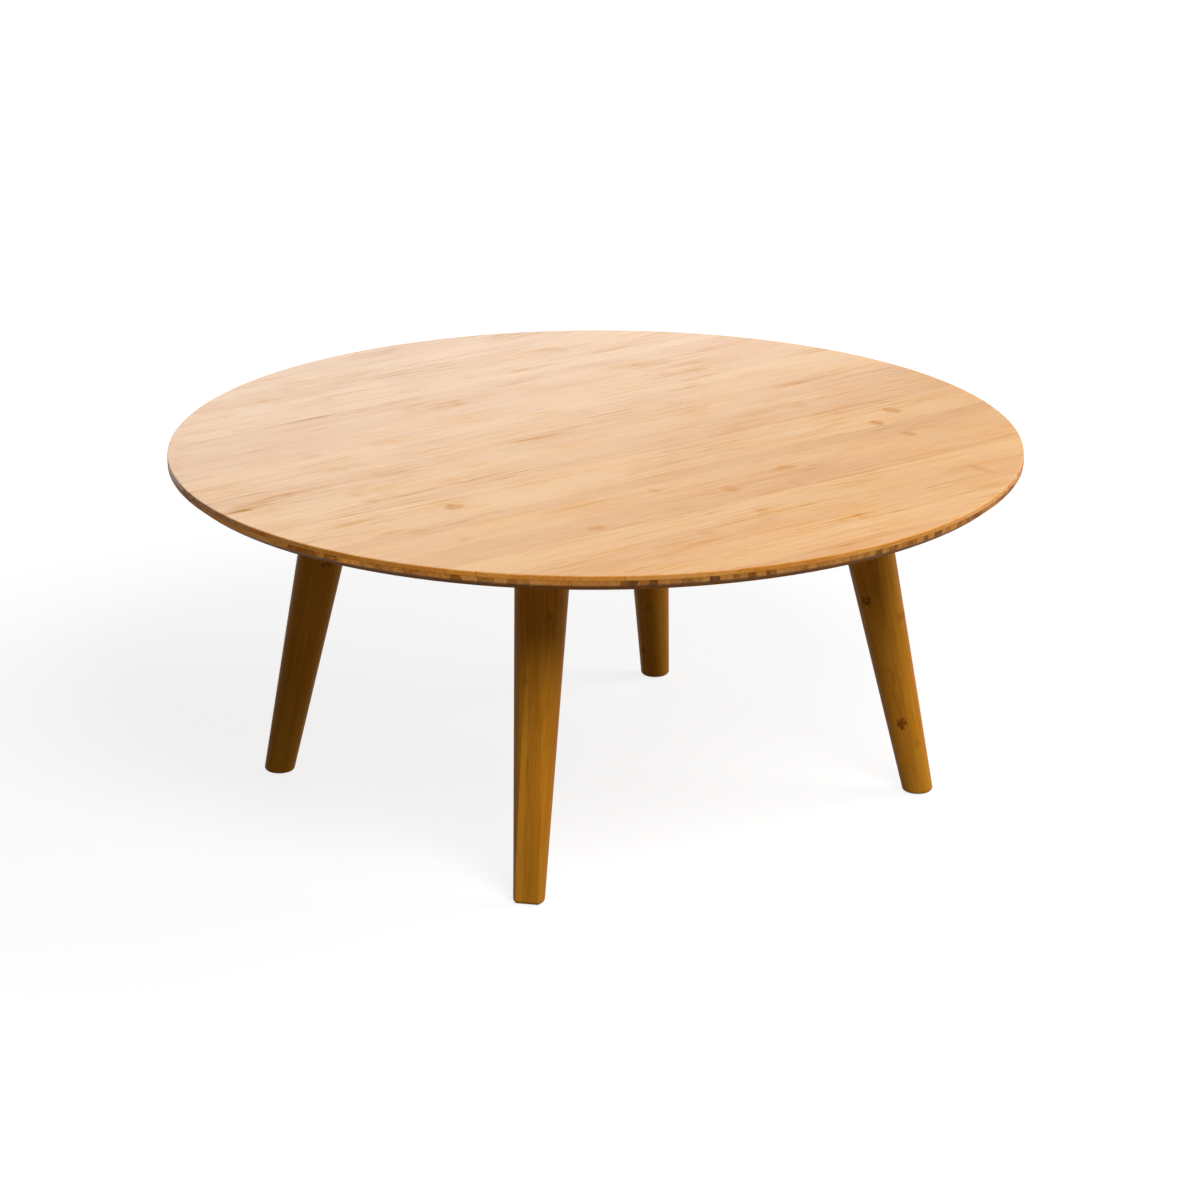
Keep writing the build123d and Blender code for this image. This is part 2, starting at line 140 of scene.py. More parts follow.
class LatchSettings(bpy.types.PropertyGroup):
    """The bent steel strip on each bracket whose lug locks the leg."""

    thickness: length_property("Thickness", "Thickness of the strip", 0.8 * MM)
    width: length_property("Width", "Width of the strip", 8.0 * MM)
    foot: length_property("Foot", "Length of the foot that is riveted to the plate", 12.6 * MM)
    blade: length_property("Blade", "Depth of the blade below the foot", 21.1 * MM)
    tab_out: length_property("Tab, out", "How far the finger tab stands out", 6.6 * MM)
    tab_down: length_property("Tab, down", "How far the finger tab goes down", 7.0 * MM)
    bend: length_property("Bend", "Radius of the strip's middle at its bends", 1.8 * MM)
    corner: length_property("Corner", "Radius of the corners at the strip's ends", 1.6 * MM)
    lug: length_property("Lug", "Radius of the lug", 2.5 * MM)
    lug_outboard: length_property("Lug, outboard", "Distance of the lug outboard of the pivot", 10.52 * MM)
    lug_down: length_property("Lug, down", "Depth of the lug's middle below the top", 13.92 * MM)


class StudioSettings(bpy.types.PropertyGroup):
    """Where the camera stands and how bright the lamps are."""

    azimuth: bpy.props.FloatProperty(
        name="Azimuth", description="Camera's turn about the table from the front",
        subtype="ANGLE", default=math.radians(-36.66),
    )
    elevation: bpy.props.FloatProperty(
        name="Elevation", description="Camera's height angle above the top",
        subtype="ANGLE", default=math.radians(18.74),
    )
    roll: bpy.props.FloatProperty(
        name="Roll", description="Camera's turn about its own line of sight",
        subtype="ANGLE", default=math.radians(-0.12),
    )
    distance: length_property("Distance", "From the camera to its aim", 4.0135)
    aim_right: length_property("Aim, right", "Camera's aim to the right of the middle of the top", 0.0038)
    aim_drop: length_property(
        "Aim, drop", "Camera's aim below the middle of the top, across the view", 0.1487
    )
    lens: bpy.props.FloatProperty(
        name="Lens", description="Focal length on a 36 mm sensor", unit="CAMERA", default=128.4
    )
    key: bpy.props.FloatProperty(
        name="Key", description="Power of the main softbox, in front on the right, in watts", default=51.5
    )
    side: bpy.props.FloatProperty(
        name="Side", description="Power of the low softbox on the right, in watts", default=19.0
    )
    window: bpy.props.FloatProperty(
        name="Window", description="Power of the panel behind that the lacquer mirrors, in watts", default=4.3
    )
    back: bpy.props.FloatProperty(
        name="Back", description="Power of the low softbox behind the table, in watts", default=13.0
    )
    ambient: bpy.props.FloatProperty(
        name="Ambient", description="Strength of the light from all round", default=0.08
    )


# ---- Shader wiring


# the Mix node's sockets where it mixes colours
MIX_FACTOR = 0
MIX_FIRST = 6
MIX_SECOND = 7
MIX_RESULT = 2


class Wiring:
    """The nodes of one material, added and joined from left to right."""

    def __init__(self, name):
        self.material = bpy.data.materials.new(name)
        self.material.use_nodes = True
        self.tree = self.material.node_tree
        self.tree.nodes.clear()
        self.columns = 0

    def add(self, kind, inputs=None, **settings):
        """Adds a node and fills its inputs with numbers, colours or other nodes' outputs."""
        node = self.tree.nodes.new(kind)
        node.location = (180 * self.columns, 0)
        self.columns += 1
        for key, value in settings.items():
            setattr(node, key, value)
        for key, value in (inputs or {}).items():
            if isinstance(value, bpy.types.NodeSocket):
                self.tree.links.new(value, node.inputs[key])
            else:
                node.inputs[key].default_value = value
        return node

    def math(self, operation, first, second=0.0, third=0.0, clamp=False):
        inputs = {0: first, 1: second}
        if operation == "MULTIPLY_ADD":
            inputs[2] = third
        return self.add("ShaderNodeMath", inputs, operation=operation, use_clamp=clamp).outputs[0]

    def product(self, *factors):
        result = factors[0]
        for factor in factors[1:]:
            result = self.math("MULTIPLY", result, factor)
        return result

    def total(self, *terms):
        """Sum of several (value, share) pairs."""
        result = 0.0
        for value, share in terms:
            result = self.math("MULTIPLY_ADD", value, share, result)
        return result

    def split(self, vector):
        node = self.add("ShaderNodeSeparateXYZ", {0: vector})
        return node.outputs[0], node.outputs[1], node.outputs[2]

    def join(self, x, y, z):
        return self.add("ShaderNodeCombineXYZ", {0: x, 1: y, 2: z}).outputs[0]

    def moved(self, vector, shift):
        return self.add("ShaderNodeVectorMath", {0: vector, 1: shift}, operation="ADD").outputs[0]

    def noise(self, vector, along, across, detail=2.0, roughness=0.5):
        """Noise about 0, mostly between -0.25 and 0.25, with so many waves a metre along and across."""
        stretched = self.add(
            "ShaderNodeVectorMath", {0: vector, 1: (along, across, across)}, operation="MULTIPLY"
        ).outputs[0]
        inputs = {"Vector": stretched, "Scale": 1.0, "Detail": detail, "Roughness": roughness}
        node = self.add("ShaderNodeTexNoise", inputs)
        return self.math("SUBTRACT", node.outputs[0], 0.5)

    def chance(self, vector):
        """Three random numbers from 0 to 1, the same wherever the vector is the same."""
        node = self.add("ShaderNodeTexWhiteNoise", {"Vector": vector}, noise_dimensions="3D")
        return self.split(node.outputs["Color"])

    def fade(self, value, start, end):
        """1 up to start, falling smoothly to 0 at end; or the other way round where end is lower."""
        inputs = {"Value": value, "From Min": start, "From Max": end, "To Min": 1.0, "To Max": 0.0}
        if end < start:
            inputs = {"Value": value, "From Min": end, "From Max": start, "To Min": 0.0, "To Max": 1.0}
        return self.add("ShaderNodeMapRange", inputs, interpolation_type="SMOOTHSTEP", clamp=True).outputs[0]

    def spot(self, along, across, place, size):
        """1 in the middle of an oval patch, falling to 0 at its edge."""
        x = self.math("MULTIPLY_ADD", along, 2 / size[0], -2 * place[0] / size[0])
        y = self.math("MULTIPLY_ADD", across, 2 / size[1], -2 * place[1] / size[1])
        return self.fade(self.math("MULTIPLY_ADD", x, x, self.math("MULTIPLY", y, y)), 0.15, 1.5)

    def mix(self, factor, first, second, blend="MIX"):
        node = self.add("ShaderNodeMix", data_type="RGBA", blend_type=blend, clamp_factor=True)
        for index, value in ((MIX_FACTOR, factor), (MIX_FIRST, first), (MIX_SECOND, second)):
            if isinstance(value, bpy.types.NodeSocket):
                self.tree.links.new(value, node.inputs[index])
            elif index == MIX_FACTOR:
                node.inputs[index].default_value = value
            else:
                node.inputs[index].default_value = (*value, 1.0)
        return node.outputs[MIX_RESULT]

    def bump(self, height, depth):
        return self.add("ShaderNodeBump", {"Height": height, "Strength": 1.0, "Distance": depth}).outputs[0]

    def finish(self, colour, roughness, normal=None, **values):
        """Joins the surface shader. Keyword names are its sockets with _ for a space."""
        inputs = {"Base Color": colour, "Roughness": roughness}
        if normal:
            inputs["Normal"] = normal
        inputs.update({key.replace("_", " "): value for key, value in values.items()})
        shader = self.add("ShaderNodeBsdfPrincipled", inputs)
        output = self.add("ShaderNodeOutputMaterial")
        self.tree.links.new(shader.outputs[0], output.inputs[0])
        return self.material


# ---- Bamboo


# The noise behind each feature of the grain: waves a metre along and across it, detail and roughness.
GRAIN_NOISE = {
    "fibre": (60, 1500, 2.0, 0.6),
    "group": (8, 38, 1.0),
    "streak": (11, 380, 3.0, 0.6),
    "dash": (26, 560, 1.0),
    "contour": (3.5, 130, 1.0),
    "line": (7, 60, 1.0),
    "cloud": (4, 17, 2.0),
    "blotch": (230, 330, 2.0, 0.6),
    "wander": (150, 150, 2.0, 0.6),
    "block": (20, 60, 1.0),
    "glow": (13, 26, 3.0, 0.6),
}

# How much each feature darkens the bamboo, roughens its lacquer, dulls its sheen and raises its surface.
DARKENS = {"tone": 0.36, "cloud": 0.75, "streak": 1.05, "fibre": 0.50, "dash": 0.16, "block": 0.75}
ROUGHENS = {"fibre": 0.10, "mark": 0.08}
DULLS = {
    "streak": 3.2, "fibre": 1.6, "dash": 0.50, "line": 0.62,
    "seam": 0.5, "mark": 0.60, "glow": 1.2, "rim": 0.75,
}
RAISES = {"fibre": 0.10, "streak": 0.12, "seam": -0.4, "dash": -0.12}

# The stain that runs out of a knuckle along the grain, against the knuckle itself.
TAIL_LENGTH = 4.5
TAIL_WIDTH = 0.8
TAIL_STRENGTH = 0.40

WARM_TINT = (1.0, 0.86, 0.45)
DARK_BLOCK = (0.085, 0.031, 0.007)
GLUE = (0.09, 0.028, 0.006)

# What a ply's colour is multiplied by on its sawn rim: where its strips are cut across, and along their side.
RIM_TINTS = {
    "face": ((0.88, 0.63, 0.25), (0.84, 0.70, 0.47)),
    "core": ((0.96, 0.93, 0.88), (2.0, 1.88, 1.55)),
    # the back ply's rim tints are far darker than the others': painted shade on its cut-back rim under the
    # top's overhang
    "back": ((0.40, 0.26, 0.10), (0.50, 0.34, 0.14)),
}
# the back ply's underside is darkened with painted shade this far in from its edge, as well as on its sawn
# rim
BACK_SHADE_BAND = 6 * MM  # how far in from its edge the back ply is coloured as cut back


def grain_space(w, origin, along, across):
    """Object coordinates turned so that X runs along the grain, Y across the strips and Z through them."""
    x = Vector(along).normalized()
    z = x.cross(Vector(across)).normalized()
    turn = Matrix((x, z.cross(x), z)).transposed().to_euler()
    coordinates = w.add("ShaderNodeTexCoord").outputs["Object"]
    mapping = w.add("ShaderNodeMapping", {"Vector": coordinates}, vector_type="TEXTURE")
    mapping.inputs["Location"].default_value = origin
    mapping.inputs["Rotation"].default_value = turn
    return mapping.outputs[0]


def strips(w, grain, width, thickness, seed):
    """The strip that a point lies in, the same vector all over it, its seams, and the place across it."""
    along, across, through = w.split(grain)
    column = w.math("DIVIDE", across, width)
    layer = w.math("DIVIDE", through, thickness)
    strip = w.join(w.math("FLOOR", column), w.math("FLOOR", layer), seed)
    from_middle = w.math("ABSOLUTE", w.math("SUBTRACT", w.math("FRACT", column), 0.5))
    # a seam shows only where the two strips did not close well
    open_length = w.fade(w.noise(grain, 9.0, 30.0, 1.0), 0.14, 0.03)
    seam = w.fade(w.math("SUBTRACT", 0.5, from_middle), 0.2 * MM / width, 0.9 * MM / width)
    return strip, w.math("MULTIPLY", seam, open_length), from_middle


def scattered_knuckles(w, along, strip, from_middle, blotch, spacing, length):
    """Soft stain of the knuckles that come at uneven distances along every strip, from 0 to 1."""
    shift = w.chance(w.moved(strip, (3.1, 7.7, 1.9)))[0]
    turn = w.math("ADD", w.math("DIVIDE", along, spacing), w.math("MULTIPLY", shift, 9.0))
    luck = w.chance(w.moved(strip, w.join(0.0, 0.0, w.math("FLOOR", turn))))
    place = w.math("MULTIPLY_ADD", luck[0], 0.44, 0.28)
    beside = w.math("MULTIPLY", w.math("SUBTRACT", w.math("FRACT", turn), place), spacing)
    beside = w.math("ABSOLUTE", w.math("MULTIPLY_ADD", blotch, 0.6 * length, beside))
    stain = w.product(w.fade(beside, 0.1 * length, 0.7 * length), w.fade(from_middle, 0.25, 0.5))
    return w.product(stain, luck[1], luck[1])


def placed_knuckles(w, along, across, blotch, wander, streak, mark, placed):
    """Adds the knuckles at given places to the stain, each with streaks that run out of it with the grain."""
    ragged_along = w.math("MULTIPLY_ADD", blotch, 17 * MM, along)
    ragged_across = w.math("MULTIPLY_ADD", wander, 14 * MM, across)
    lines = w.fade(streak, 0.14, 0.0)
    for x, y, length, width, strength in placed:
        place = (x * MM, y * MM)
        patch = w.spot(ragged_along, ragged_across, place, (length * MM, width * MM))
        tail = w.spot(along, ragged_across, place, (TAIL_LENGTH * length * MM, TAIL_WIDTH * width * MM))
        mark = w.math("MAXIMUM", mark, w.math("MULTIPLY", patch, strength))
        mark = w.math("MAXIMUM", mark, w.product(tail, lines, TAIL_STRENGTH * strength))
    return mark


def weigh(features, shares, factor=1.0):
    """Pairs for a total: each feature that the bamboo has, and its share times a factor."""
    return [(features[name], share * factor) for name, share in shares.items() if name in features]


def bamboo(
    name, grain_frame, light, dark, width, thickness=1.0, block=None, seed=0.0, contrast=1.0,
    knuckle_length=14 * MM, scattered=0.8, placed=(), knuckle=None,
    roughness=0.30, specular=0.38, glossy=False, rim=None,
):
    """Lacquered bamboo made of glued strips, the same right through, so that cuts show its ends."""
    s = bpy.context.scene.bamboo_settings
    w = Wiring(name)
    grain = grain_space(w, *grain_frame)

    def noise(feature, shift=None):
        return w.noise(w.moved(grain, shift) if shift else grain, *GRAIN_NOISE[feature])

    along, across, _ = w.split(grain)
    strip, seam, from_middle = strips(w, grain, width, thickness, seed)
    tone, warmth, gloss = w.chance(strip)
    fibre = noise("fibre")
    group = w.fade(noise("group", (3.0, 9.0, 2.0)), 0.14, -0.08)
    streak = w.math("MULTIPLY", noise("streak"), w.math("MULTIPLY_ADD", group, 0.9, 0.55))
    dash = w.product(w.fade(noise("dash"), 0.17, 0.06), group)
    contour = w.math("ABSOLUTE", noise("contour", (1.0, 2.0, 4.0)))
    line = w.product(w.fade(contour, 0.003, 0.017), w.fade(noise("line"), 0.10, -0.02))
    cloud = noise("cloud")
    blotch = noise("blotch")
    wander = noise("wander", (5.0, 3.0, 1.0))
    stain = scattered_knuckles(w, along, strip, from_middle, blotch, s.knuckle_spacing, knuckle_length)
    mark = w.math("MULTIPLY", stain, scattered)
    if placed:
        mark = placed_knuckles(w, along, across, blotch, wander, streak, mark, placed)
    features = {
        "tone": w.math("SUBTRACT", tone, 0.5), "cloud": cloud, "streak": streak, "fibre": fibre,
        "dash": dash, "line": line, "seam": seam, "mark": mark,
    }
    if block:
        ragged_block = w.math("MULTIPLY_ADD", noise("block"), 14 * MM, across)
        luck = w.chance(w.join(w.math("FLOOR", w.math("DIVIDE", ragged_block, block)), 0.0, seed))
        features["block"] = w.math("SUBTRACT", luck[0], 0.5)
    shade = w.total(*weigh(features, DARKENS, contrast))
    colour = w.mix(w.math("ADD", shade, 0.40, clamp=True), light, dark)
    # some strips and some stretches of them are warmer
    features["glow"] = noise("glow", (7.0, 7.0, 0.0))
    warm = w.math("ADD", w.total((warmth, 0.34), (features["glow"], 2.8)), 0.0, clamp=True)
    colour = w.mix(w.math("MULTIPLY", warm, 0.8), colour, w.mix(1.0, colour, WARM_TINT, "MULTIPLY"))
    colour = w.mix(w.math("MULTIPLY", line, 0.22), colour, tuple(s.seam_colour))
    if block:
        colour = w.mix(w.math("MULTIPLY", w.fade(luck[1], 0.96, 0.93), 0.60), colour, DARK_BLOCK)
    heart = w.product(mark, w.math("MULTIPLY_ADD", blotch, 2.2, 0.85))
    colour = w.mix(heart, colour, knuckle or tuple(s.knuckle_colour))
    colour = w.mix(w.product(seam, w.math("MULTIPLY_ADD", gloss, 0.26, 0.14)), colour, tuple(s.seam_colour))
    rough = w.total(*weigh(features, ROUGHENS), (1.0, roughness))
    if rim:
        colour, features["rim"] = rim(w, colour)
    sheen = specular
    if glossy:
        # the lacquer has sunk unevenly into the grain, and most of all into the sawn rim
        sunk = w.total(*weigh(features, DULLS))
        sheen = w.math("MULTIPLY", w.math("SUBTRACT", 1.0, sunk, clamp=True), specular)
    height = w.total(*weigh(features, RAISES))
    return w.finish(colour, rough, w.bump(height, 0.05 * MM), IOR=1.5, Specular_IOR_Level=sheen)


def from_axis(w):
    """Distance from the middle of the top, how far the rim there faces along X and Y, and the height."""
    x, y, z = w.split(w.add("ShaderNodeTexCoord").outputs["Object"])
    radius = w.math("SQRT", w.math("MULTIPLY_ADD", x, x, w.math("MULTIPLY", y, y)))
    facing_x = w.math("DIVIDE", w.math("ABSOLUTE", x), radius)
    facing_y = w.math("DIVIDE", w.math("ABSOLUTE", y), radius)
    return radius, facing_x, facing_y, z


def sawn_rim(grain_along_x, end_tone, side_tone, start):
    """Function that colours a ply's sawn rim from a radius outwards, and tells how far a point is on it."""

    def rim(w, colour):
        radius, facing_x, facing_y, z = from_axis(w)
        on_rim = w.fade(radius, start, start - 0.7 * MM)
        end = w.fade(facing_x if grain_along_x else facing_y, 0.85, 0.35)
        cut_along = w.mix(1.0, colour, side_tone, "MULTIPLY")
        cut_across = w.mix(1.0, colour, end_tone, "MULTIPLY")
        result = w.mix(on_rim, colour, w.mix(end, cut_along, cut_across))
        for height in (FACE_GLUE_LINE, BACK_GLUE_LINE):
            glue = w.fade(w.math("ABSOLUTE", w.math("SUBTRACT", z, height)), 0.05 * MM, 0.40 * MM)
            result = w.mix(w.product(glue, on_rim, 0.45), result, GLUE)
        return result, on_rim

    return rim


# ---- Metal, nylon and felt


def steel_finish(name, colour, roughness):
    """Plated or blued steel, faintly mottled and scuffed."""
    w = Wiring(name)
    place = w.add("ShaderNodeTexCoord").outputs["Object"]
    spangle = w.noise(place, 260, 260, 3.0, 0.6)
    scuff = w.noise(place, 500, 900, 2.0, 0.7)
    shade = w.math("ADD", w.total((spangle, 0.8), (scuff, 0.5)), 0.5, clamp=True)
    tone = w.mix(shade, tuple(0.80 * part for part in colour), colour)
    rough = w.total((spangle, 0.10), (scuff, 0.10), (1.0, roughness))
    return w.finish(tone, rough, w.bump(scuff, 0.02 * MM), Metallic=1.0)


def nylon(name):
    w = Wiring(name)
    place = w.add("ShaderNodeTexCoord").outputs["Object"]
    haze = w.noise(place, 400, 400, 2.0)
    colour = w.mix(w.math("ADD", haze, 0.5, clamp=True), (0.78, 0.77, 0.72), (0.88, 0.87, 0.83))
    return w.finish(colour, w.total((haze, 0.1), (1.0, 0.45)), w.bump(haze, 0.02 * MM), IOR=1.53)


def felt(name):
    """Brown wool felt with loose fibres."""
    w = Wiring(name)
    place = w.add("ShaderNodeTexCoord").outputs["Object"]
    fibre = w.noise(place, 2600, 2600, 4.0, 0.7)
    patch = w.noise(place, 300, 300, 2.0)
    shade = w.math("ADD", w.total((fibre, 1.3), (patch, 0.5)), 0.5, clamp=True)
    colour = w.mix(shade, (0.045, 0.026, 0.015), (0.17, 0.105, 0.065))
    return w.finish(colour, w.total((fibre, 0.1), (1.0, 0.92)), w.bump(fibre, 0.25 * MM), Sheen_Weight=0.35)


# ---- Putting finishes on the frame's nodes


def coat_node(node, material):
    """Gives every material slot of a node the same material."""
    mesh = frame["nodes"][node].data
    mesh.materials.clear()
    mesh.materials.append(material)
    for face in mesh.polygons:
        face.material_index = 0


def coat_corners(name, material):
    for corner in CORNERS:
        coat_node(f"{name}_{corner}", material)


def centre_line(corner):
    """A leg's foot on the floor, the direction up its centre line, and the level one away from the table."""
    side = Vector((1 if "right" in corner else -1, 1 if "back" in corner else -1, 0))
    foot = side * FOOT_SPACING / 2
    head = side * LEG_SPACING / 2 + Vector((0, 0, UNDERSIDE))
    return foot, (head - foot).normalized(), foot.normalized()


# ---- Bending the latch springs from strip


PLATE_THICKNESS = 1.5 * MM
BLADE_PLACE = 22.7 * MM  # of the middle of the blade, from the middle of the bracket
LUG_END = 16.1 * MM  # of the lug's end in the leg, from the middle of the bracket
LUG_CHAMFER = 0.6 * MM
# The lug's riveted head: its radius against the lug's, and its height off the blade in millimetres.
LUG_HEAD = ((1.0, -0.05), (1.16, -0.05), (1.16, 0.30), (1.0, 0.62), (0.62, 0.84), (0.0, 0.92))
SAME_PLACE = 0.02 * MM  # places nearer than this count as one
MERGE_GAP = 0.002 * MM


def bracket_space(corner):
    """Matrix from a bracket's space to the table's. It starts at the underside above the pivot, its X runs
    towards the folded leg, its Y along the pivot to the side of the latch, and its Z up."""
    joints = {joint["name"]: joint for joint in frame["joints"]}
    x, y, _ = joints[f"fold_{corner}"]["pos_m"]
    # the leg turns about the line that its latch's lug slides along, the other way round
    beside = -Vector(joints[f"fold_{corner}"]["axis"]).normalized()
    up = Vector((0, 0, 1))
    turn = Matrix((beside.cross(up), beside, up)).transposed().to_4x4()
    return Matrix.Translation((x, y, UNDERSIDE)) @ turn


def pick(kind, test):
    """In edit mode, selects only the vertices, edges or faces whose middle passes the test."""
    bpy.ops.mesh.select_mode(type=kind)
    bpy.ops.mesh.select_all(action="DESELECT")
    mesh = bpy.context.object.data
    edit = bmesh.from_edit_mesh(mesh)
    for part in {"VERT": edit.verts, "EDGE": edit.edges, "FACE": edit.faces}[kind]:
        if kind == "VERT":
            middle = part.co
        elif kind == "EDGE":
            middle = (part.verts[0].co + part.verts[1].co) / 2
        else:
            middle = part.calc_center_median()
        if test(middle, part):
            part.select_set(True)
    edit.select_flush_mode()
    bmesh.update_edit_mesh(mesh)


def near(first, second):
    return abs(first - second) < SAME_PLACE


def pull(shift):
    """In edit mode, extrudes what is selected by a shift."""
    bpy.ops.mesh.extrude_region_move(TRANSFORM_OT_translate={"value": shift})


def modify(piece, kind, **settings):
    """Adds a modifier with these settings and applies it."""
    modifier = piece.modifiers.new(kind.lower(), kind)
    for key, value in settings.items():
        setattr(modifier, key, value)
    bpy.context.view_layer.objects.active = piece
    bpy.ops.object.modifier_apply(modifier=modifier.name)


def bend_strip(latch):
    """The strip in its bracket's frame: foot, blade and finger tab."""
    foot_height = -PLATE_THICKNESS - latch.thickness / 2
    blade_end = foot_height - latch.blade
    bpy.ops.object.select_all(action="DESELECT")
    bpy.ops.mesh.primitive_plane_add(size=1.0)
    strip = bpy.context.object
    strip.scale = (latch.width, latch.foot, 1.0)
    strip.location = (-latch.lug_outboard, BLADE_PLACE + latch.foot / 2, foot_height)
    bpy.ops.object.transform_apply(location=True, rotation=True, scale=True)
    bpy.ops.object.mode_set(mode="EDIT")
    pick("EDGE", lambda middle, edge: near(middle.y, BLADE_PLACE))
    pull((0, 0, -latch.blade))
    pull((0, latch.tab_out, -latch.tab_down))
    pick("EDGE", lambda middle, edge: near(middle.y, BLADE_PLACE) and near(middle.z, foot_height))
    bpy.ops.mesh.bevel(offset=latch.bend, segments=6, affect="EDGES")
    half_turn = math.atan2(latch.tab_out, latch.tab_down) / 2
    pick("EDGE", lambda middle, edge: near(middle.y, BLADE_PLACE) and near(middle.z, blade_end))
    bpy.ops.mesh.bevel(offset=latch.bend * math.tan(half_turn), segments=5, affect="EDGES")
    pick("EDGE", lambda middle, edge: near(middle.y, BLADE_PLACE) and edge.calc_length() > latch.blade / 2)
    bpy.ops.mesh.subdivide(number_cuts=12)
    ends = (BLADE_PLACE + latch.foot, foot_height), (BLADE_PLACE + latch.tab_out, blade_end - latch.tab_down)
    pick("VERT", lambda middle, vertex: any(near(middle.y, y) and near(middle.z, z) for y, z in ends))
    bpy.ops.mesh.bevel(offset=latch.corner, segments=5, affect="VERTICES")
    bpy.ops.object.mode_set(mode="OBJECT")
    modify(strip, "SOLIDIFY", thickness=latch.thickness, offset=0.0, use_even_offset=True)
    modify(strip, "BEVEL", width=0.12 * MM, segments=2, limit_method="ANGLE", angle_limit=math.radians(40))
    return strip


def turn_lug(latch):
    """The lug in its bracket's frame, pointed into the leg and riveted over outside the blade."""
    lug = latch.lug
    face = BLADE_PLACE + latch.thickness / 2
    profile = [(0.0, LUG_END), (lug - LUG_CHAMFER, LUG_END), (lug, LUG_END + LUG_CHAMFER)]
    profile += [(share * lug, face + height * MM) for share, height in LUG_HEAD]
    bpy.ops.object.select_all(action="DESELECT")
    bpy.ops.mesh.primitive_plane_add(size=1.0)
    piece = bpy.context.object
    bpy.ops.object.mode_set(mode="EDIT")
    bpy.ops.mesh.merge(type="CENTER")
    pick("VERT", lambda middle, vertex: True)
    middle = Vector((-latch.lug_outboard, 0.0, -latch.lug_down))
    bpy.ops.transform.translate(value=middle + Vector((0, profile[0][1], 0)))
    for (radius, place), (next_radius, next_place) in zip(profile, profile[1:]):
        pull((next_radius - radius, next_place - place, 0))
    bpy.ops.mesh.select_all(action="SELECT")
    bpy.ops.mesh.spin(steps=32, angle=math.tau, center=middle, axis=(0, 1, 0))
    bpy.ops.mesh.select_all(action="SELECT")
    bpy.ops.mesh.remove_doubles(threshold=MERGE_GAP)
    bpy.ops.mesh.normals_make_consistent(inside=False)
    bpy.ops.object.mode_set(mode="OBJECT")
    return piece


def stand_at_brackets(pattern, name, material):
    """Copies a piece made in the bracket's frame to the four brackets, each copy with its own mesh."""
    pattern.data.materials.clear()
    pattern.data.materials.append(material)
    copies = {}
    for corner in CORNERS:
        mesh = pattern.data.copy()
        mesh.name = f"{name}_{corner}"
        mesh.transform(bracket_space(corner))
        copies[corner] = bpy.data.objects.new(mesh.name, mesh)
        bpy.context.scene.collection.objects.link(copies[corner])
    bpy.data.objects.remove(pattern)
    return copies


# ---- Operators


class TABLE_OT_bend_springs(bpy.types.Operator):
    """Bends the four latch springs, which stay riveted to their plates while their blades are pulled out"""

    bl_idname = "bamboo_table.bend_springs"
    bl_label = "Bend Latch Springs"

    def execute(self, context):
        latch = context.scene.latch_settings
        strip = bend_strip(latch)
        lug = turn_lug(latch)
        bpy.ops.object.select_all(action="DESELECT")
        strip.select_set(True)
        lug.select_set(True)
        context.view_layer.objects.active = strip
        bpy.ops.object.join()
        bpy.ops.object.shade_smooth_by_angle(angle=math.radians(35))
        steel = steel_finish("blued spring steel", (0.30, 0.31, 0.33), 0.30)
        for corner, spring in stand_at_brackets(strip, "bent_spring", steel).items():
            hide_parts(f"latch_spring_{corner}")
            bracket = bracket_space(corner)
            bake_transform(spring)
        return {"FINISHED"}


class TABLE_OT_finish_face(bpy.types.Operator):
    """Gives the face ply flat-laid strips that run along X"""

    bl_idname = "bamboo_table.finish_face"
    bl_label = "Finish Face Ply"

    def execute(self, context):
        s = context.scene.bamboo_settings
        along_x = ((0, s.seam_place, UNDERSIDE), (1, 0, 0), (0, 1, 0))
        placed = [(x, y - s.seam_place / MM, *rest) for x, y, *rest in FACE_KNUCKLES]
        coat_node("top_face_ply", bamboo(
            "face bamboo", along_x, tuple(s.face_light), tuple(s.face_dark), s.strip_width, contrast=1.35,
            scattered=0.28, placed=placed, glossy=True,
            rim=sawn_rim(True, *RIM_TINTS["face"], TOP_RADIUS),
        ))
        return {"FINISHED"}


class TABLE_OT_finish_core(bpy.types.Operator):
    """Gives the core ply strips on edge that run along Y, so that the front rim shows their ends"""

    bl_idname = "bamboo_table.finish_core"
    bl_label = "Finish Core Ply"

    def execute(self, context):
        s = context.scene.bamboo_settings
        along_y = ((0, 0, UNDERSIDE), (0, 1, 0), (1, 0, 0))
        coat_node("top_core_ply", bamboo(
            "core bamboo", along_y, tuple(s.core_light), tuple(s.core_dark), s.edge_width,
            block=s.block_width, seed=4.0, contrast=1.25, specular=0.06, roughness=0.5,
            rim=sawn_rim(False, *RIM_TINTS["core"], TOP_RADIUS),
        ))
        return {"FINISHED"}


class TABLE_OT_finish_back(bpy.types.Operator):
    """Gives the back ply flat-laid strips, darkened with painted shade where it is cut back under the rim"""

    bl_idname = "bamboo_table.finish_back"
    bl_label = "Finish Back Ply"

    def execute(self, context):
        s = context.scene.bamboo_settings
        along_x = ((0, 0, UNDERSIDE), (1, 0, 0), (0, 1, 0))
        back_radius = (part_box("top_back_ply")[1][0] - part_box("top_back_ply")[0][0]) / 2
        # the back ply's cut-back rim gets the painted shade of the back tints
        coat_node("top_back_ply", bamboo(
            "back bamboo", along_x, tuple(s.face_light), tuple(s.face_dark), s.strip_width, seed=9.0,
            roughness=0.55, specular=0.02, rim=sawn_rim(True, *RIM_TINTS["back"], back_radius - BACK_SHADE_BAND),
        ))
        return {"FINISHED"}


